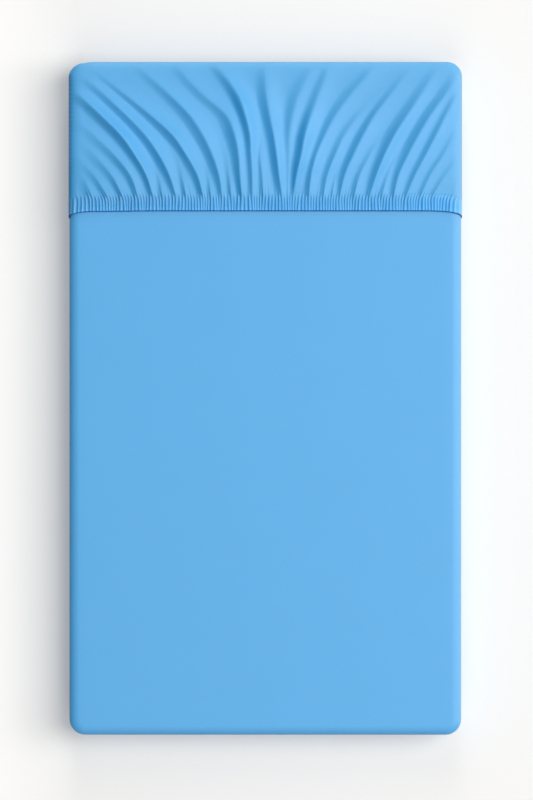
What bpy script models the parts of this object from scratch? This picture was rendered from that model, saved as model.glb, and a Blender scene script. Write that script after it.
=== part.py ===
"""A cot-size fitted sheet on its mattress, lying flat with the head end towards +Y.

The sheet is two sewn panels of thin cloth. The body panel is a sleeve that wraps the whole mattress
and is open on top at the head. The head pocket is pulled over that opening: it covers the head end,
and its elastic hem gathers it across the top. Metres, +Z up, origin under the middle of the sheet.
"""

import math

import bmesh
import bpy
from mathutils import Vector

# Driving sizes of the whole sheet, outside to outside.
SHEET_WIDTH = 0.7065
SHEET_LENGTH = 1.2068
CLOTH = 0.0015  # thickness of one layer
SLACK = 0.0005  # air between two layers, and between cloth and mattress
BODY_HEIGHT = 0.084  # outside height of the body panel
LAYER = CLOTH + SLACK

# Corners in plan and the rounding of the long edges, for each thing from the outside in.
POCKET_CORNER, POCKET_ROUND = 0.0265, 0.0140  # at the inner face of the pocket
BODY_CORNER, BODY_ROUND = 0.0290, 0.0155  # at the outer face of the body panel
MATTRESS_CORNER, MATTRESS_ROUND = 0.0330, 0.0200
CORNER_STEPS = 6
ROUND_STEPS = 6

# The pocket: its hem, the gathered elastic casing behind it, and the lap where it is sewn on.
HEM_Y = 0.3348
CASING = 0.030
HEM_DIP = 0.0105  # how far the hem drops back by the time it is over the side
HEM_DIP_FROM = 0.300
HEM_DIP_BOW = 3.2
LAP_LOW = 0.024  # height of the pocket's sewn edge above the floor
LAP_HIGH = 0.040  # height of the body panel's edge behind it
TUCK = 0.090  # how far the body panel's top reaches in under the pocket
EDGE_LIFT = 0.0018  # how far the gathered cloth stands off the body over the rounded edges

# The folds of the pocket, from left to right. Each row is the crest line of one fold:
#   pleats   small pleats of the casing between this crest and the next
#   x0 - x3  distance right of the centreline in mm, at the casing, one third and two thirds
#            of the way up, and at the head edge (over the edge it is measured along the cloth)
#   rise     height of the crest in mm
#   reach    how far towards the head edge the fold runs, as a share of the way
FOLDS = (
    # pleats,  x0,     x1,     x2,     x3,   rise, reach
    (3, -273.4, -354.7, -389.0, -394.0,  3.0, 0.30),
    (4, -249.5, -322.3, -381.0, -390.0,  5.5, 0.42),
    (4, -219.7, -281.0, -359.5, -385.0,  8.0, 0.66),
    (5, -191.2, -237.3, -312.2, -378.0, 11.5, 0.98),
    (6, -151.9, -193.8, -270.3, -363.5,  9.5, 1.04),
    (4, -104.2, -140.6, -223.5, -323.5,  9.5, 1.04),
    (4, -72.4, -93.7, -150.9, -230.2,  9.0, 1.06),
    (3, -40.3, -46.5, -87.9, -178.7,  9.5, 1.00),
    (7, -20.5, -19.7, -39.1, -102.3, 11.5, 1.08),
    (3, 34.1, 20.7, 6.0, -5.9, 10.5, 1.04),
    (3, 56.5, 64.9, 83.2, 110.0, 11.0, 1.06),
    (3, 80.5, 95.3, 134.1, 191.9,  8.5, 0.94),
    (4, 105.1, 126.7, 172.6, 231.5,  6.0, 0.80),
    (3, 137.6, 164.3, 211.1, 269.4,  7.5, 1.04),
    (5, 158.9, 188.5, 236.5, 293.5,  5.0, 0.45),
    (5, 195.6, 219.0, 263.3, 322.7,  9.0, 1.04),
    (3, 231.4, 261.5, 306.4, 370.5,  8.5, 1.02),
    (3, 255.3, 288.4, 335.6, 385.5,  8.0, 0.98),
    (4, 276.3, 326.0, 374.5, 386.0,  5.0, 0.72),
    (12, 300.4, 357.5, 383.0, 394.0,  3.0, 0.38),
)
SIDE_PLEATS = 13  # small pleats between the seam down the left side and the first crest
# The two sides of a ridge: the widest it gets, its share of the space where folds are close, and
# the power that makes it hollow.
STEEP, STEEP_SHARE, STEEP_POWER = 0.024, 0.60, 2.4
GENTLE, GENTLE_SHARE, GENTLE_POWER = 0.038, 0.85, 1.8
FLANK = 0.0080  # the last column before a crest stands this far left of it
RISE_AT_CASING = 0.60  # share of a fold's rise that is left where it runs into the casing
FULL_RISE_BY = 0.14
FADE_FROM = 0.62  # where along its reach a fold starts to die out
PLEAT = 0.0019  # greatest rise of a small pleat in the casing
PLEAT_UNEVEN, PLEAT_TURN = 0.20, 2.4  # how much the pleats differ, and the turn from one to the next
PLEAT_LOST_ON_WALL = 0.6
WRINKLE = 0.0024  # greatest rise of the short wrinkles just above the casing
WRINKLE_TURN = 2.1  # turn from one column to the next: one wrinkle to three pleats
WRINKLE_REACH = 0.17
FLAT_ROWS = (0.05, 0.11, 0.18, 0.26, 0.35, 0.44, 0.53, 0.62, 0.71, 0.80, 0.90, 1.0)
OVER_ROWS = 4
WALL_ROWS = 2
CASING_ROWS = 2

# The inner face of the pocket is a rounded box. Its core is the flat top inside the rounding.
SKIN_TOP = BODY_HEIGHT + SLACK
CORE_X = SHEET_WIDTH / 2 - CLOTH - POCKET_ROUND
CORE_Y = SHEET_LENGTH / 2 - CLOTH - POCKET_ROUND
CORE_CORNER = POCKET_CORNER - POCKET_ROUND
OVER = POCKET_ROUND * math.pi / 2  # length of cloth that goes over the rounded edge
DROP = OVER + SKIN_TOP - POCKET_ROUND - LAP_LOW  # from the core down to the sewn edge
SEAM_X = CORE_X + DROP
CASING_TOP_Y = HEM_Y + CASING
HEAD_Y = SHEET_LENGTH / 2

SHEET_BLUE = (0.145, 0.445, 0.83, 1.0)
MATTRESS_WHITE = (0.82, 0.82, 0.80, 1.0)


def clear_scene():
    for obj in list(bpy.data.objects):
        bpy.data.objects.remove(obj, do_unlink=True)


def finish(name, colour, roughness):
    """A plain finish: a Principled BSDF with one colour and one roughness."""
    made = bpy.data.materials.new(name)
    made.use_nodes = True
    shader = made.node_tree.nodes["Principled BSDF"]
    shader.inputs["Base Color"].default_value = colour
    shader.inputs["Roughness"].default_value = roughness
    shader.inputs["Metallic"].default_value = 0.0
    made.diffuse_color = colour
    return made


def add_object(name, bm, collection, material):
    mesh = bpy.data.meshes.new(name)
    bm.to_mesh(mesh)
    bm.free()
    mesh.materials.append(material)
    obj = bpy.data.objects.new(name, mesh)
    collection.objects.link(obj)
    return obj


def rounded_block(low, high, corner, rounding):
    """A cube brought to size, with its upright edges and then its top and bottom rims rounded."""
    bm = bmesh.new()
    bmesh.ops.create_cube(bm, size=1.0)
    size, middle = Vector(high) - Vector(low), (Vector(high) + Vector(low)) / 2
    bmesh.ops.scale(bm, vec=size, verts=bm.verts)
    bmesh.ops.translate(bm, vec=middle, verts=bm.verts)
    upright = [e for e in bm.edges if abs(e.verts[0].co.z - e.verts[1].co.z) > size.z / 2]
    bmesh.ops.bevel(
        bm, geom=upright, offset=corner, segments=CORNER_STEPS, profile=0.5, affect="EDGES"
    )
    rims = [e for e in bm.edges if abs(e.verts[0].co.z - e.verts[1].co.z) < size.z / 2]
    rims = [e for e in rims if any(abs(f.normal.z) < 0.5 for f in e.link_faces)]
    bmesh.ops.bevel(
        bm, geom=rims, offset=rounding, segments=ROUND_STEPS, profile=0.5, affect="EDGES"
    )
    return bm


def solidify(obj, thickness, offset):
    """Turns an open surface into a layer of cloth; offset -1 grows it inwards and 1 outwards."""
    layer = obj.modifiers.new("cloth", "SOLIDIFY")
    layer.thickness = thickness
    layer.offset = offset
    layer.use_even_offset = False


def mattress(collection, material):
    """The plain filled block that the sheet is stretched over."""
    side = SHEET_WIDTH / 2 - 2 * LAYER
    foot, head = -SHEET_LENGTH / 2 + LAYER, SHEET_LENGTH / 2 - 2 * LAYER
    bm = rounded_block(
        (-side, foot, LAYER),
        (side, head, BODY_HEIGHT - LAYER),
        MATTRESS_CORNER,
        MATTRESS_ROUND,
    )
    return add_object("mattress", bm, collection, material)


def sheet_body(collection, material):
    """The sleeve of cloth round the mattress, with its mouth on top at the head under the pocket."""
    side = SHEET_WIDTH / 2 - LAYER
    foot, head = -SHEET_LENGTH / 2, SHEET_LENGTH / 2 - LAYER
    bm = rounded_block((-side, foot, 0.0), (side, head, BODY_HEIGHT), BODY_CORNER, BODY_ROUND)
    mouth_y = HEM_Y + TUCK
    for place, direction in (((0, mouth_y, 0), (0, 1, 0)), ((0, 0, LAP_HIGH), (0, 0, 1))):
        everything = list(bm.verts) + list(bm.edges) + list(bm.faces)
        bmesh.ops.bisect_plane(bm, geom=everything, plane_co=place, plane_no=direction)
    mouth = []
    for face in bm.faces:
        middle = face.calc_center_median()
        if middle.y > mouth_y and middle.z > LAP_HIGH:
            mouth.append(face)
    bmesh.ops.delete(bm, geom=mouth, context="FACES")
    body = add_object("sheet_body", bm, collection, material)
    solidify(body, CLOTH, -1.0)
    return body


def blend(x, low, high):
    """0 below low, 1 above high, and a smooth step between them."""
    share = min(1.0, max(0.0, (x - low) / (high - low)))
    return share * share * (3 - 2 * share)


def skin(x, y):
    """The point and the outward direction of the pocket's inner face, from a place on its flat cut.

    Inside the core the cloth is flat on top. Outside it, the distance from the core runs over the
    rounded edge and then down the wall."""
    near_x = max(-CORE_X + CORE_CORNER, min(CORE_X - CORE_CORNER, x))
    near_y = min(CORE_Y - CORE_CORNER, y)
    away = Vector((x - near_x, y - near_y))
    past = away.length - CORE_CORNER
    if past <= 0:
        return Vector((x, y, SKIN_TOP)), Vector((0, 0, 1))
    out = away.normalized()
    edge = Vector((near_x, near_y)) + out * CORE_CORNER
    turn = min(past / POCKET_ROUND, math.pi / 2)
    down = POCKET_ROUND * (1 - math.cos(turn)) + max(0.0, past - OVER)
    place = edge + out * (POCKET_ROUND * math.sin(turn))
    outwards = Vector((out.x * math.sin(turn), out.y * math.sin(turn), math.cos(turn)))
    lift = EDGE_LIFT * math.sin(math.pi * min(1.0, past / OVER))
    return Vector((place.x, place.y, SKIN_TOP - down)) + outwards * lift, outwards


def hem_y(x):
    """The hem's place along the mattress: straight on top, dropping back as it goes over the side."""
    past = (abs(x) - HEM_DIP_FROM) / (CORE_X + OVER - HEM_DIP_FROM)
    return HEM_Y - HEM_DIP * min(1.0, max(0.0, past)) ** HEM_DIP_BOW


def outline_y(x):
    """The sewn edge's place on the flat cut: a straight head edge with a quarter circle at each corner."""
    corner_x, corner_y, radius = CORE_X - CORE_CORNER, CORE_Y - CORE_CORNER, CORE_CORNER + DROP
    past = max(0.0, abs(x) - corner_x)
    return corner_y + math.sqrt(max(0.0, radius**2 - past**2))


def along_fold(stations, share):
    """The distance from the centreline at a share of the way up: a cubic through the four stations."""
    total = 0.0
    for i, value in enumerate(stations):
        weight = 1.0
        for j in range(4):
            if j != i:
                weight *= (share * 3 - j) / (i - j)
        total += value * weight
    return total


def crests_at(share):
    """The distance of every fold's crest from the centreline, a share of the way up, seams included."""
    return [-SEAM_X] + [along_fold(row[1:5], share) / 1000 for row in FOLDS] + [SEAM_X]


def columns_at(share):
    """The distance of every pleat's column from the centreline, a share of the way up the folds.

    One column runs along each crest and one at the foot of the steep flank before the next crest.
    The others share the way between them."""
    crests = crests_at(share)
    columns = []
    for pleats, start, end in zip([SIDE_PLEATS] + [row[0] for row in FOLDS], crests, crests[1:]):
        foot = end - min(FLANK, (end - start) / pleats)
        columns += [start + (foot - start) * step / max(1, pleats - 1) for step in range(pleats)]
    return columns + [crests[-1]]


def fold_rise(column, share, x):
    """How far the folds lift the cloth at a pleat's column, a share of the way up from the casing.

    Each fold is a sharp crest with hollow sides, steep on the left and gentle on the right."""
    grown = RISE_AT_CASING + (1 - RISE_AT_CASING) * blend(share, 0.0, FULL_RISE_BY)
    short = WRINKLE * (1 + math.sin(WRINKLE_TURN * column)) / 2 * (1 - blend(share, 0.0, WRINKLE_REACH))
    crests = crests_at(share)
    rise = 0.0
    for i, (*_, height_mm, reach) in enumerate(FOLDS):
        before, crest, after = crests[i : i + 3]
        if x < crest:
            away = (crest - x) / min(STEEP, STEEP_SHARE * (crest - before))
            side = max(0.0, 1 - away) ** STEEP_POWER
        else:
            away = (x - crest) / min(GENTLE, GENTLE_SHARE * (after - crest))
            side = max(0.0, 1 - away) ** GENTLE_POWER
        rise = max(rise, height_mm / 1000 * side * (1 - blend(share, FADE_FROM * reach, reach)))
    return max(rise * grown, short) * (1 - blend(abs(x), CORE_X, CORE_X + OVER))


def pleat_rise(column, x):
    """How far a small pleat stands up, a little different for each and less on the side walls."""
    wall = 1 - PLEAT_LOST_ON_WALL * blend(abs(x), CORE_X, CORE_X + OVER)
    return PLEAT * wall * (1 - PLEAT_UNEVEN * (1 - math.sin(PLEAT_TURN * column)))


def head_pocket(collection, material):
    """The gathered pocket over the head end, made as one open surface on its flat cut."""
    bm = bmesh.new()

    def add(x, y, rise):
        place, outwards = skin(x, y)
        return bm.verts.new(place + outwards * rise)

    # The casing has two columns for each pleat: a valley and a crest.
    valleys = columns_at(0.0)
    last = len(valleys) - 1
    casing = []
    for row in range(CASING_ROWS + 1):
        along = row / CASING_ROWS
        line = []
        for half in range(2 * last + 1):
            column = half // 2
            x = (valleys[column] + valleys[(half + 1) // 2]) / 2
            rise = fold_rise(half / 2, 0.0, x) * along**2
            if half % 2:
                rise += pleat_rise(column, x)
            line.append(add(x, hem_y(x) + CASING * along, rise))
        casing.append(line)

    # Above the casing there is one column for each pleat, fanned out along the folds.
    levels = [CASING_TOP_Y + (CORE_Y - CASING_TOP_Y) * share for share in FLAT_ROWS]
    levels += [CORE_Y + OVER * (step + 1) / OVER_ROWS for step in range(OVER_ROWS)]
    levels += [CORE_Y + OVER + (DROP - OVER) * (step + 1) / WALL_ROWS for step in range(WALL_ROWS)]
    rows = []
    for level in levels:
        turn = min(math.pi / 2, max(0.0, level - CORE_Y) / POCKET_ROUND)
        plan = min(level, CORE_Y) + POCKET_ROUND * math.sin(turn)
        share = min(1.0, (plan - CASING_TOP_Y) / (HEAD_Y - CASING_TOP_Y))
        up = (level - CASING_TOP_Y) / (CORE_Y + DROP - CASING_TOP_Y)
        line = []
        for column, x in enumerate(columns_at(share)):
            low = hem_y(valleys[column]) + CASING
            line.append(add(x, low + (outline_y(x) - low) * up, fold_rise(column, share, x)))
        rows.append(line)

    for low, high in zip(casing, casing[1:]):
        for i in range(2 * last):
            bm.faces.new((low[i], low[i + 1], high[i + 1], high[i]))
    top, first = casing[-1], rows[0]
    for i in range(last):
        bm.faces.new((top[2 * i], top[2 * i + 1], first[i]))
        bm.faces.new((top[2 * i + 1], first[i + 1], first[i]))
        bm.faces.new((top[2 * i + 1], top[2 * i + 2], first[i + 1]))
    for low, high in zip(rows, rows[1:]):
        for i in range(last):
            bm.faces.new((low[i], low[i + 1], high[i + 1], high[i]))
    pocket = add_object("head_pocket", bm, collection, material)
    pocket.data.shade_smooth()
    solidify(pocket, CLOTH, 1.0)
    return pocket


def main():
    clear_scene()
    collection = bpy.data.collections.new("fitted_sheet_on_mattress")
    bpy.context.scene.collection.children.link(collection)
    cloth = finish("sheet_cloth", SHEET_BLUE, 0.85)
    ticking = finish("mattress_cover", MATTRESS_WHITE, 0.9)
    mattress(collection, ticking)
    sheet_body(collection, cloth)
    head_pocket(collection, cloth)


main()
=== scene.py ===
import math

import bmesh
import bpy
import numpy as np
from mathutils import Matrix


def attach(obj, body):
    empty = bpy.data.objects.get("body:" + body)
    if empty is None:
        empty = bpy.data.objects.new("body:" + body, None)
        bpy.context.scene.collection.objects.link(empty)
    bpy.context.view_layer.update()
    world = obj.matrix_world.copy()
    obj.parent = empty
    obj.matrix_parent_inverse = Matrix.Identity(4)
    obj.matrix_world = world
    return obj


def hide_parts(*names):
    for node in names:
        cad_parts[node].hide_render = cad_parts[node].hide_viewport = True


# Looks of a cot-size fitted sheet on its mattress, seen from straight above with the head end up.
# The body panel is smooth cloth stretched round the whole mattress. The head pocket is pulled over
# the head end, and its elastic casing gathers it into small pleats that open into long folds.

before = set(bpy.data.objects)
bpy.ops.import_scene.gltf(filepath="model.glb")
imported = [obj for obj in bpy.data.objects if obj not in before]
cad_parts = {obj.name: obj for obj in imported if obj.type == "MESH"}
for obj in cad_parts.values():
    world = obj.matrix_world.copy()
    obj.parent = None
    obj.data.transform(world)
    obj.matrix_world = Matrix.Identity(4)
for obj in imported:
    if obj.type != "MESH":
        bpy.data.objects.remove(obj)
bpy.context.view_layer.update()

# Sizes in metres. Widths, lengths, levels and the hem are those of the solids, within a millimetre.
SHEET_WIDTH = 0.7070
FOOT_Y, HEAD_Y = -0.6039, 0.6034
POCKET_HALF_WIDTH = 0.35300
CLOTH, SLACK, BODY_HEIGHT = 0.0015, 0.0005, 0.084
LAYER = CLOTH + SLACK
THIN = 0.0011  # one layer of cloth as it is shown
# Each block's corner radius seen from above, and how far its rounded edge runs in and down.
POCKET_CORNER, POCKET_ROUND, POCKET_FALL = 0.0265, 0.0175, 0.0100
BODY_CORNER, BODY_ROUND, BODY_FALL = 0.0280, 0.0185, 0.0112
MATTRESS_CORNER, MATTRESS_ROUND, MATTRESS_FALL = 0.0305, 0.0200, 0.0128
# The hem's place and its casing's height. Towards the sides the hem sags, each time between two
# distances from the centreline. Beyond a third distance it also drops back, as a power.
HEM_Y, CASING = 0.3348, 0.0300
LEFT_SAG, LEFT_SAG_SPAN = 0.0013, (0.18, 0.32)
RIGHT_SAG, RIGHT_SAG_SPAN = 0.0008, (0.29, 0.32)
HEM_DIP, HEM_DIP_FROM, HEM_DIP_POWER = 0.0105, 0.300, 3.2
# Levels of the pocket's sewn edge and of the body panel's edge behind it, and how far the body
# panel reaches in under the hem.
LAP_LOW, LAP_HIGH, TUCK = 0.024, 0.040, 0.090
SEAM_ALLOWANCE = 0.005
# How far the head's left corner falls short of the right one, and the places between which that
# sets in.
CORNER_DROOP, DROOP_X, DROOP_Y = 0.0022, (0.310, 0.328), (0.55, 0.59)
EDGE_LIFT = 0.0006  # how far the pocket stands off at the middle of its rounded edge

# The pocket's inner face: its top level, the flat core of its top, the length of cloth over the
# rounded edge, and that length with the wall down to the sewn edge.
SKIN_TOP = BODY_HEIGHT + SLACK
CORE_X = POCKET_HALF_WIDTH - CLOTH - POCKET_ROUND
CORE_Y = HEAD_Y - CLOTH - POCKET_ROUND
CORE_CORNER = POCKET_CORNER - POCKET_ROUND
OVER = math.pi / 2 * math.sqrt((POCKET_ROUND**2 + POCKET_FALL**2) / 2)
DROP = OVER + SKIN_TOP - POCKET_FALL - LAP_LOW
CASING_TOP_Y = HEM_Y + CASING
POCKET_LENGTH = CASING + CORE_Y + DROP - CASING_TOP_Y

# A tint is how much less red, green and blue the cloth shows, as painted light and shade. Towards
# each side of the sheet, a painted sheen on the right and head edges and painted shade on the left
# and foot edges: the greatest tint, and the distance over which it falls to a third.
RIM_PAINTED_LIGHT = {
    "right": ((-3.0, -0.26, 0.18), 0.0037),
    "left": ((2.9, 1.15, 0.80), 0.0026),
    "head": ((-1.00, -0.34, -0.18), 0.0075),
    "foot": ((0.05, 0.30, 0.25), 0.0025),
}
RIM_LEAST, RIM_MOST = -1.4, (0.76, 0.60, 0.52)  # the limits of their sum
RIM_FADE = (0.062, 0.076)  # the levels between which these end, down the walls
# Painted shade on a fold's steep side, which faces away from the light: the tint, the slope where it
# is full, and its share low in the casing.
TILT_PAINTED_SHADE, FULL_TILT, TILT_IN_CASING = (0.46, 0.0, -0.11), 0.85, 0.2
# Painted highlight on a pleat's crest and painted shade in its valley: the same for each colour,
# and that times a tint on top.
PLEAT_PAINTED_LIGHT, PLEAT_PAINTED_TINT = 0.46, (0.35, 0.0, -0.15)
# Painted shade among the folds: the shade, the tint, the distance above the casing where they end,
# and how much of them is lost between two places from left to right.
FOLDED_PAINTED_SHADE, FOLDED_PAINTED_TINT, FOLDED_REACH = 0.09, (0.12, 0.01, 0.0), 0.105
FOLDED_LOSS, FOLDED_SPAN = 0.7, (-0.10, 0.10)
TOP_PAINTED_SHADE = 0.02  # painted shade all over the top above the casing
# The casing, in painted light and shade: lighter at the hem, darker towards its top and its left end,
# lighter at its right end.
CASING_LIGHT, CASING_SHADE = 0.08, 0.15
LEFT_SHADE, LEFT_SHADE_SPAN = 0.07, (0.05, 0.25)
RIGHT_LIGHT, RIGHT_LIGHT_SPAN = 0.10, (0.20, 0.33)
HEM_LIGHT, HEM_LIGHT_SPAN = 0.16, (0.0024, 0.0060)  # painted highlight along the hem's front edge
HEM_PAINTED_SHADOW, HEM_SHADOW_SPAN = (0.96, 0.80, 0.55), (0.0008, 0.0018)  # painted shadow where the cloth turns under there

# Camera: straight above, at the height that gives the photograph's frame.
VIEW_CENTRE = (0.0021, -0.0032)
VIEW_LENGTH, VIEW_LEVEL = 1.4392, 0.058  # length seen along the long side, at this height
LENS, SENSOR = 150.0, 36.0

# The long folds of the pocket, from left to right, as their crest lines. Each row is
#   the small pleats of the casing between this crest and the next,
#   the crest's distance right of the centreline in mm, measured along the cloth, at the top of the
#   casing and then every 36 mm further up, and
#   its rise in mm at 0, 1.5, 3, 4.5 and 6 of those steps.
STEP_UP, FIRST_STEP_Y = 0.036, 0.3629
RISE_STEPS = (0.0, 1.5, 3.0, 4.5, 6.0, 6.6)
FOLDS = (
    (5, (-310.2, -326.5, -355.0, -375.0, -388.0, -394.0, -397.5, -400.0), (3.2, -1.2, 0.0, 0.0, 0.0)),
    (5, (-282.5, -305.2, -337.0, -362.0, -380.0, -389.0, -395.0, -398.5), (4.7, 0.5, -0.3, 0.0, 0.0)),
    (5, (-255.4, -273.9, -303.6, -337.0, -366.0, -382.0, -391.0, -396.0), (5.3, 2.4, -1.0, 0.0, 0.0)),
    (5, (-228.2, -241.0, -268.5, -304.7, -343.0, -372.0, -386.0, -393.0), (4.4, 5.3, 1.7, -1.5, 0.0)),
    (3, (-201.1, -212.4, -232.4, -257.7, -293.3, -331.0, -366.0, -388.0), (4.8, 8.0, 9.3, 6.6, -5.0)),
    (4, (-183.9, -191.9, -209.0, -235.9, -270.8, -308.5, -345.9, -374.0), (4.1, 0.3, 0.0, 0.0, 0.0)),
    (3, (-160.0, -171.2, -189.3, -214.2, -248.2, -286.0, -325.7, -360.0), (4.1, 6.5, 6.6, 4.6, 0.0)),
    (6, (-141.7, -149.2, -160.0, -189.7, -226.3, -267.1, -308.9, -347.0), (4.3, 1.4, 0.0, 0.0, 0.0)),
    (3, (-111.3, -121.0, -140.6, -165.2, -204.5, -248.3, -292.0, -334.0), (4.8, 6.2, 7.2, 3.6, 0.3)),
    (4, (-97.5, -102.5, -114.0, -138.1, -169.6, -208.9, -250.5, -289.0), (3.9, 0.0, 0.0, 0.0, 0.0)),
    (3, (-77.4, -82.5, -94.0, -110.9, -134.7, -169.5, -209.0, -244.0), (4.1, 5.6, 5.8, 4.8, 1.4)),
    (3, (-60.9, -64.7, -70.5, -83.9, -103.3, -140.2, -176.4, -205.5), (3.9, 2.0, 0.0, 0.0, 0.0)),
    (3, (-41.8, -44.9, -47.1, -53.9, -69.0, -109.9, -143.8, -167.0), (5.6, 6.7, 7.0, 3.4, 1.6)),
    (4, (-23.1, -23.1, -25.1, -26.9, -35.4, -48.7, -73.3, -106.0), (4.5, 6.6, 9.6, 9.2, 3.4)),
    (6, (-3.5, -5.3, -8.5, -7.1, -14.8, -26.4, -41.4, -58.0), (3.9, 4.4, 2.0, 0.0, 0.0)),
    (2, (30.0, 25.1, 21.1, 15.7, 8.7, 3.0, 0.5, 0.0), (3.6, 7.8, 7.8, 5.2, 1.6)),
    (2, (40.2, 41.0, 42.5, 43.3, 49.0, 59.6, 77.1, 97.0), (0.6, 3.0, 4.4, 3.0, 1.2)),
    (5, (50.3, 56.4, 64.9, 71.6, 82.1, 95.3, 109.0, 118.0), (1.7, 9.3, 9.8, 3.8, 1.7)),
    (5, (78.2, 82.5, 91.8, 107.4, 126.8, 153.4, 183.9, 208.0), (3.9, 7.2, 4.8, 3.0, 1.6)),
    (3, (104.4, 111.5, 125.7, 141.9, 167.2, 193.3, 212.0, 236.0), (3.3, 4.7, 2.6, 0.2, 0.0)),
    (3, (119.7, 126.5, 141.0, 159.1, 181.9, 208.9, 232.0, 255.5), (1.9, 0.6, 0.0, 0.0, 0.0)),
    (5, (133.8, 142.6, 158.2, 176.2, 196.7, 224.6, 252.0, 275.0), (3.0, 5.0, 4.6, 2.4, 0.5)),
    (5, (159.5, 169.2, 186.8, 204.6, 225.9, 251.7, 276.7, 300.5), (3.9, 3.1, 0.2, 0.0, 0.0)),
    (4, (187.0, 199.2, 214.0, 232.5, 255.2, 278.8, 301.4, 326.0), (3.9, 6.7, 5.8, 3.5, 0.8)),
    (4, (209.0, 219.5, 235.0, 253.0, 274.1, 298.5, 320.2, 343.0), (3.5, 1.9, -0.5, 0.0, 0.0)),
    (4, (230.2, 239.2, 256.1, 275.5, 297.0, 322.2, 344.0, 364.0), (4.1, 5.2, 5.4, 3.9, 0.4)),
    (5, (252.8, 268.5, 287.7, 306.3, 323.7, 342.8, 362.0, 378.0), (3.7, 4.9, 5.5, 3.6, 0.5)),
    (4, (278.8, 295.5, 318.5, 336.7, 358.0, 373.0, 383.0, 390.0), (2.8, 3.2, 1.4, 0.8, 0.0)),
    (18, (300.0, 321.7, 346.0, 366.0, 381.0, 389.0, 394.0, 397.0), (2.4, 1.3, 0.3, 0.0, 0.0)),
)
SIDE_PLEATS = 16  # between the seam down the left side and the first crest
SEAM_X = CORE_X + DROP
# The table's rises are all multiplied by this. A fold's sides are hollow, as this power of the
# share of their width. The steep one is on the left and the gentle one on the right.
RISE, HOLLOW = 1.42, 2.0
# Each side's width in metres, square to the crest, and the share of the gap to the next crest that
# it may take. The steep side is narrower at some steps, by these shares.
STEEP, STEEP_SHARE = 0.0205, 0.50
GENTLE, GENTLE_SHARE = 0.032, 0.66
NARROW_STEPS, NARROW = (0.0, 1.2, 3.0, 6.0), (0.7, 1.0, 1.0, 0.7)
CREST_ROUND, CREST_ROUND_GROWTH = 0.0014, 0.0009  # at the casing, and for each step further up
STEEPEST = 3.0  # the greatest slant of a crest line that widens its fold
GATHERED, GATHERED_REACH = 0.10, 0.022  # how much lower the folds are at the casing, and how far up
IN_CASING = 2.6  # the power by which the folds grow from the hem up the casing

# The small pleats of the casing and the fine creases they leave just above it.
PER_PLEAT = 6  # grid columns for each pleat
PLEAT, HEM_PLEAT = 0.0027, 1.5  # a pleat's height where its share is 1, and its share at the hem
PLEAT_WIDTHS, PLEAT_HEIGHTS = 0.13, 0.30  # how much they differ
PLEAT_ROUND, PLEAT_WAVE = 0.14, 0.8698  # how round a crest is, and the height of the wave then
CREASE, CREASE_POWER = 0.45, 1.3  # the greatest share at the casing's top, and a chance's power
# The least distance that a crease reaches up, what chance may add, and that chance's power. Then
# the power of the distance by which a crease fades.
CREASE_LEAST, CREASE_MORE, REACH_POWER, FADING = 0.003, 0.011, 1.6, 1.5
# A pleat narrower than this is lower too, within these limits.
EVEN_SPACING, EVEN_LIMITS = 0.0057, (0.4, 1.05)
# How far the pleats lean at the hem: as a slow wave along it, and each by itself.
LEAN, LEAN_JITTER = 0.0014, 0.0009
LEAN_TURN, LEAN_SWING, LEAN_SWING_TURN = 0.83, 2.0, 0.21
UPRIGHT = 5.0  # the number of pleats from either seam over which the leaning sets in
HEM_ROLL = 0.0012  # how far back the hem's rounded front edge reaches
TURN_DOWN = 0.0135  # length over which the pleats' slant ends, below the casing's top
PUFF, PUFF_FRONT = 0.0020, 0.0025  # how far the casing puffs up, and the length of its front
STITCH_SINK, STITCH_SINK_WIDTH = 0.0003, 0.0012  # the groove under the stitches

# Rows of quads of the slabs: on top, over a rounded edge and down a wall; and points of their
# rings: round a corner, along a side and along half an end.
TOP_ROWS, EDGE_ROWS, WALL_ROWS = 20, 12, 5
CORNER_POINTS, SIDE_POINTS, END_POINTS = 8, 110, 34
UNDER_PANEL = 2.0  # how far beside the upper panel the lower one lies, on the flat cloth

# Stitches: one each pitch, with this length and thread radius. Their middle rises and their ends
# dip by these shares of the radius, and their thickness starts from the third share.
STITCH_PITCH, STITCH_LENGTH, STITCH_RADIUS = 0.0034, 0.0023, 0.00030
STITCH_RISE, STITCH_DIP, STITCH_END = 1.1, 0.35, 0.45


# ---------------------------------------------------------------- camera


def add_camera():
    """A perspective camera looking straight down, its long side along the sheet."""
    data = bpy.data.cameras.new("camera")
    data.lens, data.sensor_width, data.sensor_fit = LENS, SENSOR, "AUTO"
    data.clip_start, data.clip_end = 0.1, 60.0
    camera = bpy.data.objects.new("camera", data)
    camera.location = (*VIEW_CENTRE, VIEW_LEVEL + VIEW_LENGTH * LENS / SENSOR)
    bpy.context.scene.collection.objects.link(camera)
    bpy.context.scene.camera = camera


# ---------------------------------------------------------------- meshes


def smooth_step(x, low, high):
    """0 below low, 1 above high, and 3 s^2 - 2 s^3 of the share s between them."""
    share = np.clip((x - low) / (high - low), 0.0, 1.0)
    return share * share * (3 - 2 * share)


def add_mesh(name, mesh, material):
    """An object that shows a mesh smoothly in one material."""
    mesh.shade_smooth()
    mesh.materials.append(material)
    piece = bpy.data.objects.new(name, mesh)
    bpy.context.scene.collection.objects.link(piece)
    return piece


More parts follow.
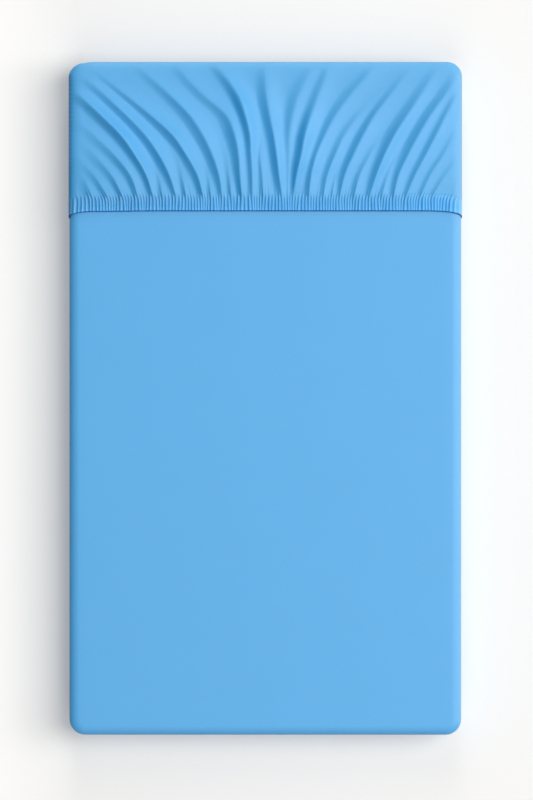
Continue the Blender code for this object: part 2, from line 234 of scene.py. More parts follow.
def add_grid(name, points, cloth, material, closed=False, panels=None, keep=None):
    """A mesh of quads over a grid of points, rows by columns, with the cloth's own flat coordinates.

    cloth has the flat coordinates of every point, once for each panel, and panels says which panel
    each row of quads belongs to. keep, if given, says which quads stay. A closed grid joins its last
    column to its first, and its points that coincide are merged."""
    rows, columns = points.shape[:2]
    index = np.arange(rows * columns).reshape(rows, columns)
    right = np.roll(index, -1, axis=1) if closed else index[:, 1:]
    left = index if closed else index[:, :-1]
    quads = np.stack([left[:-1], right[:-1], right[1:], left[1:]], axis=-1)
    if closed:
        quads = quads[:, :, [0, 3, 2, 1]]
    panels = np.zeros(rows - 1, int) if panels is None else panels
    flat = np.stack([panel.reshape(-1, 2)[quads] for panel in cloth])[panels, np.arange(rows - 1)]
    if keep is not None:
        quads, flat = quads[keep], flat[keep]
    mesh = bpy.data.meshes.new(name)
    mesh.from_pydata(points.reshape(-1, 3).tolist(), [], quads.reshape(-1, 4).tolist())
    layer = mesh.uv_layers.new(name="cloth")
    layer.data.foreach_set("uv", flat.astype(np.float32).ravel())
    if closed:
        bm = bmesh.new()
        bm.from_mesh(mesh)
        bmesh.ops.remove_doubles(bm, verts=bm.verts, dist=1e-6)
        bmesh.ops.delete(bm, geom=[v for v in bm.verts if not v.link_faces], context="VERTS")
        bm.to_mesh(mesh)
        bm.free()
    return add_mesh(name, mesh, material)


def droop(points):
    """The same points with the head's left corner drawn back a little, by smooth steps in x and y."""
    moved = points.copy()
    share = smooth_step(-points[..., 0], *DROOP_X) * smooth_step(points[..., 1], *DROOP_Y)
    moved[..., 1] -= CORNER_DROOP * share
    return moved


def rim_painted_light(points):
    """How much less red, green and blue the cloth shows near the rim of the sheet.

    For each side of the sheet it falls off as exp(-distance / reach), and it fades out down the
    walls. It is painted light: a painted sheen where the cloth turns over the right and head edges,
    towards the light, and painted shade where it turns over the left and foot edges, away from it."""
    distance = {
        "right": SHEET_WIDTH / 2 - points[..., 0],
        "left": SHEET_WIDTH / 2 + points[..., 0],
        "head": HEAD_Y - points[..., 1],
        "foot": points[..., 1] - FOOT_Y,
    }
    total = np.zeros(points.shape)
    for side, (tint, reach) in RIM_PAINTED_LIGHT.items():
        total += np.array(tint) * np.exp(-np.maximum(0.0, distance[side]) / reach)[..., None]
    return np.clip(total, RIM_LEAST, RIM_MOST) * smooth_step(points[..., 2], *RIM_FADE)[..., None]


def set_painted_light(piece, tint):
    """Keeps a tint of painted light and shade for every vertex of a piece, as the attribute that its finish
    reads.
    """
    kept = piece.data.attributes.new("tint", "FLOAT_VECTOR", "POINT")
    kept.data.foreach_set("vector", tint.astype(np.float32).ravel())


def make_layer(piece):
    """Gives an open surface the thickness of one layer of cloth, on its inner side."""
    layer = piece.modifiers.new("layer", "SOLIDIFY")
    layer.thickness, layer.offset, layer.use_even_offset = THIN, -1.0, False


# ---------------------------------------------------------------- the head pocket


def skin(x, y):
    """The place and the outward direction of the pocket's inner face, from a place on its flat cut.

    Inside the core the cloth lies flat on top. Outside it, the distance from the core runs over the
    rounded edge as a quarter ellipse, and what is left runs straight down the wall. Over the edge
    the cloth stands off a little, by half a sine wave."""
    near_x = np.clip(x, CORE_CORNER - CORE_X, CORE_X - CORE_CORNER)
    near_y = np.minimum(y, CORE_Y - CORE_CORNER)
    away = np.hypot(x - near_x, y - near_y)
    out_x, out_y = (x - near_x) / np.maximum(away, 1e-9), (y - near_y) / np.maximum(away, 1e-9)
    past = np.maximum(0.0, away - CORE_CORNER)
    turn = np.minimum(past / OVER, 1.0) * math.pi / 2
    reach = np.minimum(away, CORE_CORNER) + POCKET_ROUND * np.sin(turn)
    down = POCKET_FALL * (1 - np.cos(turn)) + np.maximum(0.0, past - OVER)
    place = np.stack([near_x + out_x * reach, near_y + out_y * reach, SKIN_TOP - down], axis=-1)
    sideways, upwards = POCKET_FALL * np.sin(turn), POCKET_ROUND * np.cos(turn)
    outwards = np.stack([out_x * sideways, out_y * sideways, upwards], axis=-1)
    outwards /= np.hypot(sideways, upwards)[..., None]
    lift = EDGE_LIFT * np.sin(math.pi * np.minimum(1.0, past / OVER))
    return place + outwards * lift[..., None], outwards


def hem_y(x):
    """The hem's place along the mattress: straight in the middle, sagging by smooth steps towards
    each side, and dropping back as a power of the distance as it goes over the side."""
    past = (np.abs(x) - HEM_DIP_FROM) / (CORE_X + OVER - HEM_DIP_FROM)
    sag = LEFT_SAG * smooth_step(-x, *LEFT_SAG_SPAN) + RIGHT_SAG * smooth_step(x, *RIGHT_SAG_SPAN)
    return HEM_Y - sag - HEM_DIP * np.clip(past, 0.0, 1.0) ** HEM_DIP_POWER


def outline_y(x):
    """The sewn edge's place on the flat cut: a straight head edge with a quarter circle at each end."""
    corner_x, corner_y, radius = CORE_X - CORE_CORNER, CORE_Y - CORE_CORNER, CORE_CORNER + DROP
    past = np.maximum(0.0, np.abs(x) - corner_x)
    return corner_y + np.sqrt(np.maximum(0.0, radius**2 - past**2))


# The crest lines and their rises, with a line down each side's seam, and the pleat at each crest.
CREST_X = np.array([row[1] for row in FOLDS]) / 1000
CREST_X = np.concatenate([np.full((1, 8), -SEAM_X), CREST_X, np.full((1, 8), SEAM_X)])
CREST_RISE = RISE * np.array([row[2] + (0.0,) for row in FOLDS]) / 1000
CREST_PLEAT = np.cumsum([0, SIDE_PLEATS] + [row[0] for row in FOLDS])
PLEATS = int(CREST_PLEAT[-1])

chance = np.random.default_rng(17)
width_of_pleat = 1 + PLEAT_WIDTHS * chance.uniform(-1, 1, PLEATS)
height_of_pleat = 1 - PLEAT_HEIGHTS * chance.uniform(0, 1, PLEATS + 1)
jitter_of_pleat = LEAN_JITTER * chance.uniform(-1, 1, PLEATS + 1)
reach_of_pleat = CREASE_LEAST + CREASE_MORE * chance.uniform(0, 1, PLEATS + 1) ** REACH_POWER
crease_of_pleat = CREASE * chance.uniform(0, 1, PLEATS + 1) ** CREASE_POWER
place_of_pleat = np.concatenate([[0.0], np.cumsum(width_of_pleat)])


def crests_at(steps):
    """Every crest line's distance from the centreline, for each height given in 36 mm steps.

    A Catmull-Rom curve through the eight stations of each line, which runs on straight past its
    ends."""
    low = np.clip(np.floor(steps).astype(int), 0, 6)
    f = np.clip(steps, 0.0, 7.0) - low
    line = np.concatenate(
        [2 * CREST_X[:, :1] - CREST_X[:, 1:2], CREST_X, 2 * CREST_X[:, -1:] - CREST_X[:, -2:-1]], axis=1
    )
    p0, p1, p2, p3 = (line[:, low + i] for i in range(4))
    curve = 2 * p1 + (p2 - p0) * f + (2 * p0 - 5 * p1 + 4 * p2 - p3) * f**2
    return (0.5 * (curve + (3 * p1 - p0 - 3 * p2 + p3) * f**3)).T


def column_x(pleat, along, crests):
    """Each column's distance from the centreline, row by row.

    A column keeps its share of the way between the two crest lines beside it. Below the casing's
    top that slant ends as a parabola, and the pleats lean by a sine wave and a little by chance, in
    proportion to the distance from the casing's top."""
    place = np.interp(pleat, np.arange(PLEATS + 1), place_of_pleat)
    at_crest = place_of_pleat[CREST_PLEAT]
    gap = np.clip(np.searchsorted(CREST_PLEAT, pleat[0], side="right") - 1, 0, len(CREST_PLEAT) - 2)
    share = (place[0] - at_crest[gap]) / (at_crest[gap + 1] - at_crest[gap])
    x = crests[:, gap] * (1 - share) + crests[:, gap + 1] * share
    slant = (CREST_X[:, 1] - CREST_X[:, 0]) / STEP_UP
    slant = slant[gap] * (1 - share) + slant[gap + 1] * share
    down = np.clip((CASING - along) / TURN_DOWN, 0.0, 1.0)
    x = x - slant * TURN_DOWN * (down - down**2 / 2)
    free = smooth_step(np.minimum(pleat, PLEATS - pleat), 0.0, UPRIGHT)
    lean = LEAN * np.sin(pleat * LEAN_TURN + LEAN_SWING * np.sin(pleat * LEAN_SWING_TURN))
    lean += np.interp(pleat, np.arange(PLEATS + 1), jitter_of_pleat)
    return x + lean * free * np.clip(1 - along / CASING, 0.0, 1.0)


def fold_height(x, along, above, steps, level, crests):
    """How far the long folds stand up: crests with hollow sides, steep on the left.

    A side is the crest's rise times a power of 1 - distance / width, the distance rounded at the
    crest as a hyperbola. Where sides overlap, the height is the root of their squares' sum. In the
    casing it is a power of the distance from the hem."""
    total = np.zeros_like(x)
    rows = np.maximum(1e-6, level[:, 0]) + np.arange(len(steps)) * 1e-9
    slope = np.gradient(crests, rows, axis=0)
    rounding = (CREST_ROUND + CREST_ROUND_GROWTH * np.clip(steps, 0.0, 7.0))[:, None]
    narrowing = np.interp(steps, NARROW_STEPS, NARROW)[:, None]
    for i in range(len(FOLDS)):
        before, crest, after = (crests[:, i + j][:, None] for j in range(3))
        rise = np.maximum(0.0, np.interp(steps, RISE_STEPS, CREST_RISE[i]))[:, None]
        oblique = np.sqrt(1 + np.clip(slope[:, i + 1], -STEEPEST, STEEPEST) ** 2)[:, None]
        away = x - crest
        distance = np.sqrt(away**2 + rounding**2) - rounding
        width = np.where(
            away < 0,
            np.minimum(STEEP * np.sqrt(oblique), STEEP_SHARE * 2.0 * (crest - before)) * narrowing,
            np.minimum(GENTLE * oblique, GENTLE_SHARE * 2.0 * (after - crest)),
        )
        side = np.maximum(0.0, 1 - distance / np.maximum(width, 1e-4)) ** HOLLOW
        total = total + (rise * side) ** 2
    height = np.sqrt(total) * np.clip(along / CASING, 0.0, 1.0) ** IN_CASING
    return height * (1 - GATHERED * (1 - smooth_step(above, 0.0, GATHERED_REACH)))


def pleat_height(pleat, along, above, x):
    """How far the small pleats stand up, as a share of their greatest height across and along them.

    A crest is where pleat is a whole number, and across it the height is 1 less a rounded sine wave.
    Up the casing it changes as the cube of the distance from its share at the hem to its crease's,
    and the crease fades above it as the exponential of a power of the distance."""
    nearest = np.clip(np.rint(pleat).astype(int), 0, PLEATS)
    wave = np.sqrt(np.sin(math.pi * pleat) ** 2 + PLEAT_ROUND**2) - PLEAT_ROUND
    across = np.clip(1 - wave / PLEAT_WAVE, 0.0, 1.0)
    crease = crease_of_pleat[nearest]
    fading = np.exp(-((above / reach_of_pleat[nearest]) ** FADING))
    up = np.clip(along / CASING, 0.0, 1.0) ** 3
    share = np.where(along < CASING, HEM_PLEAT - (HEM_PLEAT - crease) * up, crease * fading)
    spacing = np.gradient(x, axis=1) / np.gradient(pleat, axis=1)
    even = np.where(along < CASING, np.clip(spacing / EVEN_SPACING, *EVEN_LIMITS) ** 2, 1.0)
    return PLEAT * height_of_pleat[nearest] * even * across * share, across, share


def pocket_painted_light(points, x, along, above, on_top, pleat_painted_light):
    """How much less red, green and blue the pocket's cloth shows, as painted light and shade.

    In all three alike: painted highlight and shade across each pleat, painted light and shade from
    place to place in the casing, and less painted shade with the distance above it. By colour:
    painted shade on the steep sides of folds as the square of their slope, among the folds and
    across the pleats, painted sheen and shade at the rim, and a painted shadow where the hem turns
    under."""
    near = (1 - smooth_step(above, 0.0, FOLDED_REACH)) * (1 - FOLDED_LOSS * smooth_step(x, *FOLDED_SPAN))
    # painted light and shade along the casing
    ends = LEFT_SHADE * smooth_step(-x, *LEFT_SHADE_SPAN) - RIGHT_LIGHT * smooth_step(x, *RIGHT_LIGHT_SPAN)
    in_casing = ends - CASING_LIGHT + CASING_SHADE * along / CASING
    shade = pleat_painted_light + np.where(along < CASING, in_casing, TOP_PAINTED_SHADE + FOLDED_PAINTED_SHADE * near)
    # painted highlight along the hem's front edge
    shade = shade - HEM_LIGHT * (1 - smooth_step(along, *HEM_LIGHT_SPAN))
    across = np.gradient(points, axis=1)
    # painted shade on the steep, unlit sides of the folds
    slope = np.clip(across[..., 2] / np.maximum(across[..., 0], 1e-5), 0.0, FULL_TILT)
    free = TILT_IN_CASING + (1 - TILT_IN_CASING) * smooth_step(along, 0.6 * CASING, CASING)
    tilt = (slope / FULL_TILT) ** 2 * on_top * free
    tint = shade[..., None] + np.array(TILT_PAINTED_SHADE) * tilt[..., None]
    tint = tint + np.array(FOLDED_PAINTED_TINT) * (near * (above > 0.0))[..., None]
    tint = tint + np.array(PLEAT_PAINTED_TINT) * pleat_painted_light[..., None]
    # painted shadow along the hem's turned-under edge
    turned = (1 - smooth_step(along, *HEM_SHADOW_SPAN))[..., None]
    return tint + (np.array(HEM_PAINTED_SHADOW) - tint) * turned + rim_painted_light(points)


def pocket_surface(pleat, along):
    """The outer face of the head pocket and its tint of painted light and shade, for every pair of a
    row and a column.

    pleat counts the small pleats from the left seam, and along is the distance in metres up from the
    hem: over the casing, on to the head edge, over it and down to the sewn edge. The height over the
    skin is the folds, plus the pleats, plus the casing's puff, less the groove of its stitching, all
    of it rolled down at the hem as a quarter sine wave."""
    pleat = np.asarray(pleat, float)[None, :]
    along = np.asarray(along, float)[:, None]
    above = np.maximum(0.0, along - CASING)
    level = CASING_TOP_Y + above
    turn = np.clip((level - CORE_Y) / OVER, 0.0, 1.0) * math.pi / 2
    plan = np.minimum(level, CORE_Y) + POCKET_ROUND * np.sin(turn)
    steps = (plan[:, 0] - FIRST_STEP_Y) / STEP_UP
    crests = crests_at(steps)
    x = column_x(pleat, along, crests)

    # The casing follows the hem, and above it the rows spread evenly to the outline.
    casing_top = hem_y(x) + CASING
    up = above / (CORE_Y + DROP - CASING_TOP_Y)
    y = np.where(along < CASING, hem_y(x) + along, casing_top + (outline_y(x) - casing_top) * up)
    place, outwards = skin(x, y)

    on_top = 1 - smooth_step(np.abs(x), CORE_X, CORE_X + OVER)
    folds = fold_height(x, along, above, steps, level, crests)
    pleats, across, share = pleat_height(pleat, along, above, x)
    # painted highlight on each pleat's crest and painted shade in its valley
    pleat_painted_light = PLEAT_PAINTED_LIGHT * (0.5 - across) * np.minimum(1.0, share * on_top)
    risen = np.sqrt(np.clip(along / PUFF_FRONT, 0.0, 1.0))
    puff = PUFF * risen * np.clip(1 - along / CASING, 0.0, 1.0)
    sunk = STITCH_SINK * np.exp(-(((along - CASING) / STITCH_SINK_WIDTH) ** 2))
    roll = np.sin(math.pi / 2 * np.clip(along / HEM_ROLL, 0.0, 1.0))
    height = THIN + (CLOTH - THIN + (folds + pleats + puff) * on_top - sunk) * roll
    points = droop(place + outwards * height[..., None])
    return points, pocket_painted_light(points, x, along, above, on_top, pleat_painted_light)


def head_pocket(material):
    """The gathered pocket over the head end, on a grid of pleats by rows.

    Also gives the width of its flat cut, which is measured along a row two thirds up the casing."""
    casing = np.array([0.0, 0.35, 0.75, 1.2, 2.4, 5.0, 9.0, 14.0, 19.0, 23.5, 27.0, 28.2]) / 1000
    measured = 8
    close = np.array([0.0, 1.4, 3.2, 5.6, 8.6, 12.2, 16.0, 20.4, 25.0]) / 1000
    top = CORE_Y - CASING_TOP_Y
    flat = np.linspace(close[-1], top, 25)[1:]
    over = top + OVER * np.arange(1, 7) / 6
    wall = top + OVER + (DROP - OVER) * np.arange(1, 4) / 3
    along = np.concatenate([casing, CASING + np.concatenate([close, flat, over, wall])])
    pleat = np.linspace(0.0, PLEATS, PLEATS * PER_PLEAT + 1)
    points, tint = pocket_surface(pleat, along)
    steps = np.linalg.norm(np.diff(points[measured], axis=0), axis=1)
    width = np.concatenate([[0.0], np.cumsum(steps)])
    cloth = np.stack(np.broadcast_arrays(width[None, :], along[:, None]), axis=-1)
    piece = add_grid("head_pocket_cloth", points, (cloth,), material)
    set_painted_light(piece, tint)
    make_layer(piece)
    return piece, float(width[-1])


# ---------------------------------------------------------------- body panel and mattress


def slab_ring(half_width, foot, head, corner, marks):
    """A rounded rectangle seen from above, anticlockwise from the middle of the foot end.

    Gives its points and the outward direction at each. Marks are places along both sides that get
    a point of their own."""
    ends = np.linspace(0.0, 1.0, END_POINTS + 1)
    sides = np.linspace(foot + corner, head - corner, SIDE_POINTS)
    sides = np.unique(np.round(np.concatenate([sides, marks]), 6))
    points, normals = [], []

    def straight(xs, ys, normal):
        points.append(np.stack(np.broadcast_arrays(xs, ys), axis=-1))
        normals.append(np.broadcast_to(normal, points[-1].shape))

    def arc(x, y, start):
        angle = np.radians(start + 90 * np.arange(CORNER_POINTS + 1) / CORNER_POINTS)
        direction = np.stack([np.cos(angle), np.sin(angle)], axis=-1)
        points.append(np.array([x, y]) + corner * direction)
        normals.append(direction)

    inner = half_width - corner
    straight(ends[:-1] * inner, foot, (0, -1))
    arc(inner, foot + corner, -90)
    straight(half_width, sides[1:-1], (1, 0))
    arc(inner, head - corner, 0)
    straight((1 - 2 * np.linspace(0, 1, 2 * END_POINTS + 1)[1:-1]) * inner, head, (0, 1))
    arc(-inner, head - corner, 90)
    straight(-half_width, sides[::-1][1:-1], (-1, 0))
    arc(-inner, foot + corner, 180)
    straight(-(1 - ends[1:-1]) * inner, foot, (0, -1))
    return np.concatenate(points), np.concatenate(normals)


def slab(half_width, foot, head, low, high, corner, rounding, fall, spine, marks=(), wall_marks=()):
    """A rounded slab as one closed skin: rings round it by rows from the top's middle to the
    bottom's middle.

    On top a row shrinks the core ring towards the spine, a line along the middle. Over the edge it
    moves out by the rounding times sin t and down by the fall times 1 - cos t, then down the wall,
    and back in under the slab. Gives the points, the flat coordinates of the upper and the lower
    panel, the panel of each row of quads, and each row's level."""
    ring, normal = slab_ring(
        half_width - rounding, foot + rounding, head - rounding, corner - rounding, marks
    )
    centre = np.stack([np.zeros(len(ring)), np.clip(ring[:, 1], *spine)], axis=-1)
    shrink = np.linspace(0.0, 1.0, TOP_ROWS + 1)
    turn = np.linspace(0.0, math.pi / 2, EDGE_ROWS + 1)[1:]
    under_turn = turn[::-1][1:]
    wall = np.concatenate([np.linspace(low + fall, high - fall, WALL_ROWS + 1), wall_marks])
    wall = np.unique(np.round(wall, 6))[::-1][1:]
    shares = np.concatenate([shrink, np.ones(len(turn) * 2 + len(wall) - 1), shrink[::-1]])
    out = np.concatenate(
        [shrink * 0, rounding * np.sin(turn), wall * 0 + rounding, rounding * np.sin(under_turn), shrink * 0]
    )
    levels = np.concatenate(
        [
            shrink * 0 + high,
            high - fall * (1 - np.cos(turn)),
            wall,
            low + fall * (1 - np.cos(under_turn)),
            shrink * 0 + low,
        ]
    )
    core = centre + (ring - centre) * shares[:, None, None]
    plan = core + normal * out[:, None, None]
    points = np.concatenate([plan, np.broadcast_to(levels[:, None, None], plan.shape[:2] + (1,))], axis=-1)
    past = np.concatenate([[0.0], np.cumsum(np.hypot(np.diff(out), np.diff(levels)))])
    upper = core + normal * past[:, None, None]
    lower = plan * (1, -1) + (UNDER_PANEL, 0.0)
    last_wall = len(shrink) + len(turn) + len(wall)
    panels = (np.arange(len(levels) - 1) >= last_wall - 1).astype(int)
    return droop(points), (upper, lower), panels, levels


def sheet_body(material):
    """The sleeve round the mattress, with its mouth on top under the pocket."""
    mouth_y = HEM_Y + TUCK
    points, cloth, panels, levels = slab(
        SHEET_WIDTH / 2 - LAYER, FOOT_Y, HEAD_Y - LAYER, 0.0, BODY_HEIGHT,
        BODY_CORNER, BODY_ROUND, BODY_FALL, (-0.27, 0.45), marks=(mouth_y,), wall_marks=(LAP_HIGH,),
    )
    middle = (points + np.roll(points, -1, axis=1))[:-1] / 2
    height = (levels[:-1] + levels[1:]) / 2
    keep = ~((middle[..., 1] > mouth_y) & (height > LAP_HIGH)[:, None])
    piece = add_grid("sheet_body_cloth", points, cloth, material, closed=True, panels=panels, keep=keep)
    corners = np.empty(len(piece.data.vertices) * 3)
    piece.data.vertices.foreach_get("co", corners)
    # painted sheen and shade along the body panel's rim
    set_painted_light(piece, rim_painted_light(corners.reshape(-1, 3)))
    make_layer(piece)
    return piece


def cot_mattress(material):
    """The plain filled block under the cloth."""
    points, cloth, panels, _ = slab(
        SHEET_WIDTH / 2 - 2 * LAYER, FOOT_Y + LAYER, HEAD_Y - 2 * LAYER,
        LAYER, BODY_HEIGHT - LAYER, MATTRESS_CORNER, MATTRESS_ROUND, MATTRESS_FALL, (-0.27, 0.27),
    )
    return add_grid("cot_mattress", points, cloth, material, closed=True, panels=panels)


# ---------------------------------------------------------------- stitches


def stitch_row(name, line, up, material):
    """A row of short threads along a line: each is a six-sided tube whose ends dip into the cloth.

    The line is measured by its length, and a stitch starts at every whole pitch. Along a stitch
    the height over the cloth and the thickness are each half a sine wave on top of a constant."""
    run = np.concatenate([[0.0], np.cumsum(np.linalg.norm(np.diff(line, axis=0), axis=1))])
    starts = np.arange(STITCH_PITCH / 2, run[-1] - STITCH_LENGTH, STITCH_PITCH)
    shares = np.linspace(0.0, 1.0, 5)
    at = starts[:, None] + STITCH_LENGTH * shares
    centre = np.stack([np.interp(at, run, line[:, i]) for i in range(3)], axis=-1)
    lift = np.stack([np.interp(at, run, up[:, i]) for i in range(3)], axis=-1)
    lift /= np.linalg.norm(lift, axis=-1, keepdims=True)
    over_cloth = STITCH_RADIUS * (STITCH_RISE * np.sin(math.pi * shares) - STITCH_DIP)
    centre = centre + lift * over_cloth[None, :, None]
    tangent = centre[:, -1:] - centre[:, :1]
    tangent = tangent / np.linalg.norm(tangent, axis=-1, keepdims=True)
    side = np.cross(tangent, lift)
    side /= np.linalg.norm(side, axis=-1, keepdims=True)
    angle = 2 * math.pi * np.arange(6) / 6
    belly = np.sin(math.pi * np.clip(shares, 0.12, 0.88))
    radius = STITCH_RADIUS * (STITCH_END + (1 - STITCH_END) * belly)
    rings = centre[:, :, None] + radius[None, :, None, None] * (
        side[:, :, None] * np.cos(angle)[:, None] + lift[:, :, None] * np.sin(angle)[:, None]
    )
    index = np.arange(len(starts) * 5 * 6).reshape(len(starts), 5, 6)
    beside = np.roll(index, -1, axis=2)
    quads = np.stack([index[:, :-1], index[:, 1:], beside[:, 1:], beside[:, :-1]], axis=-1)
    caps = np.concatenate([index[:, 0], index[:, -1, ::-1]])
    mesh = bpy.data.meshes.new(name)
    mesh.from_pydata(rings.reshape(-1, 3).tolist(), [], quads.reshape(-1, 4).tolist() + caps.tolist())
    return add_mesh(name, mesh, material)


def pocket_stitching(name, along, material):
    """Stitches that follow the pocket's surface at one distance up from the hem."""
    pleat = np.linspace(0.02, PLEATS - 0.02, PLEATS * 14)
    lines, _ = pocket_surface(pleat, (along - 0.001, along, along + 0.001))
    up = np.cross(np.gradient(lines[1], axis=0), lines[2] - lines[0])
    return stitch_row(name, lines[1], up, material)


# ---------------------------------------------------------------- finishes


class Value:
    """A socket of a node, with the arithmetic of Math nodes."""

    def __init__(self, nodes, socket):
        self.nodes, self.socket = nodes, socket

    def maths(self, operation, *others):
        return self.nodes.add("ShaderNodeMath", {"operation": operation}, (self, *others))

    def __add__(self, other):
        return self.maths("ADD", other)

    def __mul__(self, other):
        return self.maths("MULTIPLY", other)

    def __rsub__(self, other):
        return self.nodes.add("ShaderNodeMath", {"operation": "SUBTRACT"}, (other, self))

    __radd__, __rmul__ = __add__, __mul__


class Nodes:
    """The node tree of one material."""

    def __init__(self, name):
        self.material = bpy.data.materials.new(name)
        self.material.use_nodes = True
        self.tree = self.material.node_tree
        self.shader = self.tree.nodes["Principled BSDF"]

    def put(self, socket, value):
        if isinstance(value, Value):
            self.tree.links.new(value.socket, socket)
        else:
            socket.default_value = value

    def add(self, kind, settings=None, sockets=(), output=0):
        """A node of this kind: its settings first, then the values or links of its sockets."""
        node = self.tree.nodes.new(kind)
        for key, value in (settings or {}).items():
            setattr(node, key, value)
        pairs = sockets.items() if isinstance(sockets, dict) else enumerate(sockets)
        for key, value in pairs:
            self.put(node.inputs[key], value)
        return Value(self, node.outputs[output])

    def mix(self, share, first, second):
        """A colour between two, by a share."""
        settings = {"data_type": "RGBA", "blend_type": "MIX"}
        return self.add("ShaderNodeMix", settings, {0: share, 6: first, 7: second}, output=2)

    def vector(self, operation, first, second):
        """A vector or colour worked out part by part from two others."""
        return self.add("ShaderNodeVectorMath", {"operation": operation}, (first, second))

    def finish(self, linked, fixed):
        """Links what varies and sets what is the same all over."""
        for key, value in linked.items():
            self.put(self.shader.inputs[key], value)
        for key, value in fixed.items():
            self.shader.inputs[key].default_value = value
        return self.material


def woven(name, dark, light, yarn, relief, sheen, roughness):
    """Plain woven cotton, on the cloth's own flat coordinates in metres.

    Two sets of yarns cross at right angles. Where the product of their two waves is positive the
    one along the cloth is on top, otherwise the one across it. Each yarn's height is the size of
    its wave, and the colour is lighter where it is high, as painted shade of the weave. Slubs vary
    the colour along the yarns, and a broad noise varies it over the cloth. The colour is then
    multiplied by 1 less the cloth's tint, its painted light and shade."""
    nodes = Nodes(name)
    flat = nodes.add("ShaderNodeUVMap", {"uv_map": "cloth"})
    parts = nodes.add("ShaderNodeSeparateXYZ", None, (flat,)).socket.node
    across, along = Value(nodes, parts.outputs[0]), Value(nodes, parts.outputs[1])
    wave_a = (across * (math.pi / yarn)).maths("SINE")
    wave_b = (along * (math.pi / yarn)).maths("SINE")
    on_top = (wave_a * wave_b).maths("GREATER_THAN", 0.0)
    height = wave_a.maths("ABSOLUTE") * on_top + wave_b.maths("ABSOLUTE") * (1 - on_top)

    def noise(place, scale, detail):
        sockets = {"Vector": place, "Scale": scale, "Detail": detail}
        return nodes.add("ShaderNodeTexNoise", {"noise_dimensions": "2D"}, sockets)

    along_slubs = noise(nodes.vector("MULTIPLY", flat, (1.0 / yarn, 60.0, 1.0)), 1.0, 2.0)
    across_slubs = noise(nodes.vector("MULTIPLY", flat, (60.0, 1.0 / yarn, 1.0)), 1.0, 2.0)
    slubs = along_slubs * 0.5 + across_slubs * 0.5
    # the yarns' height adds painted shade of the weave; the slubs and the broad noise are the cloth's own
    shade = height * 0.30 + slubs * 0.45 + noise(flat, 9.0, 3.0) * 0.35
    colour = nodes.mix(nodes.add("ShaderNodeClamp", None, (shade,)), dark, light)
    tint = nodes.add("ShaderNodeAttribute", {"attribute_name": "tint"}, output=1)
    colour = nodes.vector("MULTIPLY", colour, nodes.vector("SUBTRACT", (1.0, 1.0, 1.0), tint))
    raised = {"Strength": relief, "Distance": yarn * 0.5, "Height": height + slubs * 0.6}
    bump = nodes.add("ShaderNodeBump", None, raised)
    return nodes.finish(
        {"Base Color": colour, "Roughness": roughness + slubs * 0.08, "Normal": bump},
        {"Sheen Weight": sheen, "Sheen Roughness": 0.25, "Specular IOR Level": 0.6},
    )


def thread_finish(name, colour):
    """Twisted sewing thread: a fine wave across the thread in its relief, and as painted shade in its
    colour.
    """
    nodes = Nodes(name)
    place = nodes.add("ShaderNodeTexCoord", output=3)
    twist = nodes.add(
        "ShaderNodeTexWave",
        {"bands_direction": "DIAGONAL"},
        {"Vector": place, "Scale": 900.0, "Distortion": 0.6},
        output=1,
    )
    # painted shade in the twist's grooves
    shade = nodes.mix(twist, tuple(part * 0.86 for part in colour[:3]) + (1.0,), colour)
    bump = nodes.add("ShaderNodeBump", None, {"Strength": 0.3, "Distance": 0.0001, "Height": twist})
    return nodes.finish({"Base Color": shade, "Normal": bump}, {"Roughness": 0.55, "Sheen Weight": 0.2})


def floor_finish():
    """A matt pale floor with a trace of unevenness, which gives off a little light.

    It is a little paler from just beyond the sheet's left side on: painted light where the sheet's
    shadow fades."""
    nodes = Nodes("pale_floor")
    place = nodes.add("ShaderNodeTexCoord", output=3)
    broad = nodes.add("ShaderNodeTexNoise", None, {"Vector": place, "Scale": 3.0, "Detail": 2.0})
    right = nodes.mix(broad, (0.672, 0.664, 0.650, 1.0), (0.682, 0.674, 0.660, 1.0))
    across = nodes.add("ShaderNodeSeparateXYZ", None, (place,))
    # painted light on the floor beyond the sheet's left side
    painted_light_leftward = nodes.add("ShaderNodeMapRange", None, (across, -0.34, -0.47, 0.0, 1.0))
    colour = nodes.mix(painted_light_leftward, right, (0.760, 0.752, 0.738, 1.0))
    fixed = {
        "Roughness": 0.9,
        "Specular IOR Level": 0.1,
        "Emission Color": (1.0, 1.0, 1.0, 1.0),
        "Emission Strength": 0.190,
    }
    return nodes.finish({"Base Color": colour}, fixed)


# ---------------------------------------------------------------- studio


def add_light(name, azimuth, elevation, distance, size, watts):
    """A soft rectangular light that faces the sheet from a direction, in degrees, and a distance."""
    lamp = bpy.data.lights.new(name, "AREA")
    lamp.shape, lamp.energy = "RECTANGLE", watts
    lamp.size, lamp.size_y = size
    azimuth, elevation = math.radians(azimuth), math.radians(elevation)
    level = np.array([-math.sin(azimuth), math.cos(azimuth), 0.0])
    ahead = np.array([math.cos(azimuth), math.sin(azimuth), 0.0])
    towards = math.cos(elevation) * ahead + np.array([0.0, 0.0, math.sin(elevation)])
    turned = np.eye(4)
    turned[:3, :3] = np.stack([np.cross(level, towards), level, towards], axis=1)
    turned[:3, 3] = towards * distance
    light = bpy.data.objects.new(name, lamp)
    light.matrix_world = Matrix(turned.tolist())
    bpy.context.scene.collection.objects.link(light)


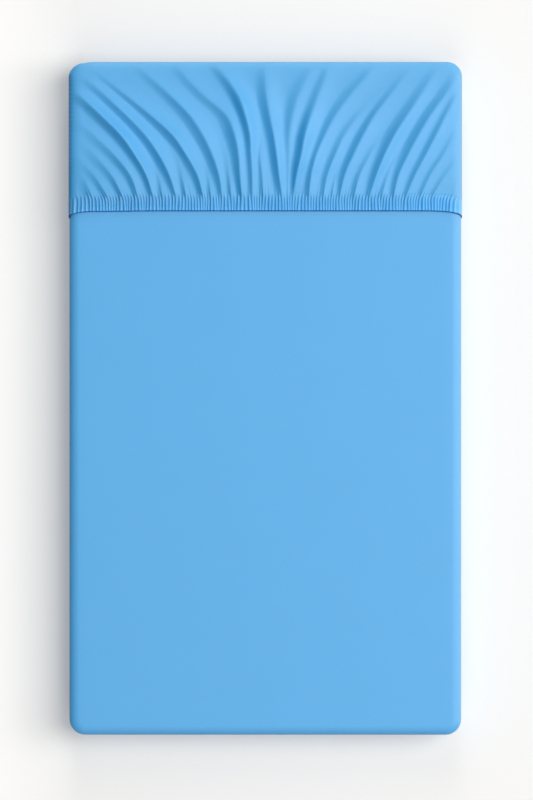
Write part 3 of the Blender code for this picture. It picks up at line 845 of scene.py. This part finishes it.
def studio():
    """A pale floor, an even pale surround, a broad soft light from the right with a low one under
    it, and a weaker one from either end."""
    floor_mesh = bpy.data.meshes.new("floor")
    wide = 12.0
    floor_mesh.from_pydata(
        [(-wide, -wide, 0), (wide, -wide, 0), (wide, wide, 0), (-wide, wide, 0)], [], [(0, 1, 2, 3)]
    )
    floor_mesh.materials.append(floor_finish())
    floor = bpy.data.objects.new("floor", floor_mesh)
    bpy.context.scene.collection.objects.link(floor)

    world = bpy.data.worlds.new("surround")
    world.use_nodes = True
    surround = world.node_tree.nodes["Background"]
    surround.inputs["Color"].default_value = (1.0, 1.0, 1.0, 1.0)
    surround.inputs["Strength"].default_value = 0.13
    bpy.context.scene.world = world

    add_light("key", 10, 57, 9.0, (8.0, 6.0), 691.0)
    add_light("side", 4, 22, 8.0, (6.7, 1.6), 132.0)
    add_light("head", 90, 30, 10.0, (7.2, 2.9), 266.0)
    add_light("foot", -90, 55, 9.0, (6.0, 5.0), 176.0)

    settings = bpy.context.scene.view_settings
    settings.view_transform, settings.look = "Standard", "None"
    settings.exposure, settings.gamma = 0.0, 1.0


# ---------------------------------------------------------------- all together


def main():
    add_camera()
    sheet_cotton = woven(
        "sheet_cotton", (0.0730, 0.365, 0.711, 1.0), (0.0840, 0.394, 0.757, 1.0),
        yarn=0.00062, relief=0.22, sheen=0.25, roughness=0.44,
    )
    ticking = woven(
        "mattress_ticking", (0.66, 0.66, 0.63, 1.0), (0.80, 0.80, 0.78, 1.0),
        yarn=0.0009, relief=0.3, sheen=0.05, roughness=0.85,
    )
    thread = thread_finish("sewing_thread", (0.13, 0.42, 0.80, 1.0))

    pocket, hem_width = head_pocket(sheet_cotton)
    body = sheet_body(sheet_cotton)
    block = cot_mattress(ticking)
    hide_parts("head_pocket")
    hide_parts("sheet_body")
    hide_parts("mattress")

    stitching = [
        pocket_stitching("casing_stitching", CASING, thread),
        pocket_stitching("pocket_seam_stitching", POCKET_LENGTH - SEAM_ALLOWANCE, thread),
    ]
    for piece in [pocket, body, block, *stitching]:
        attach(piece, "root")

    studio()


main()
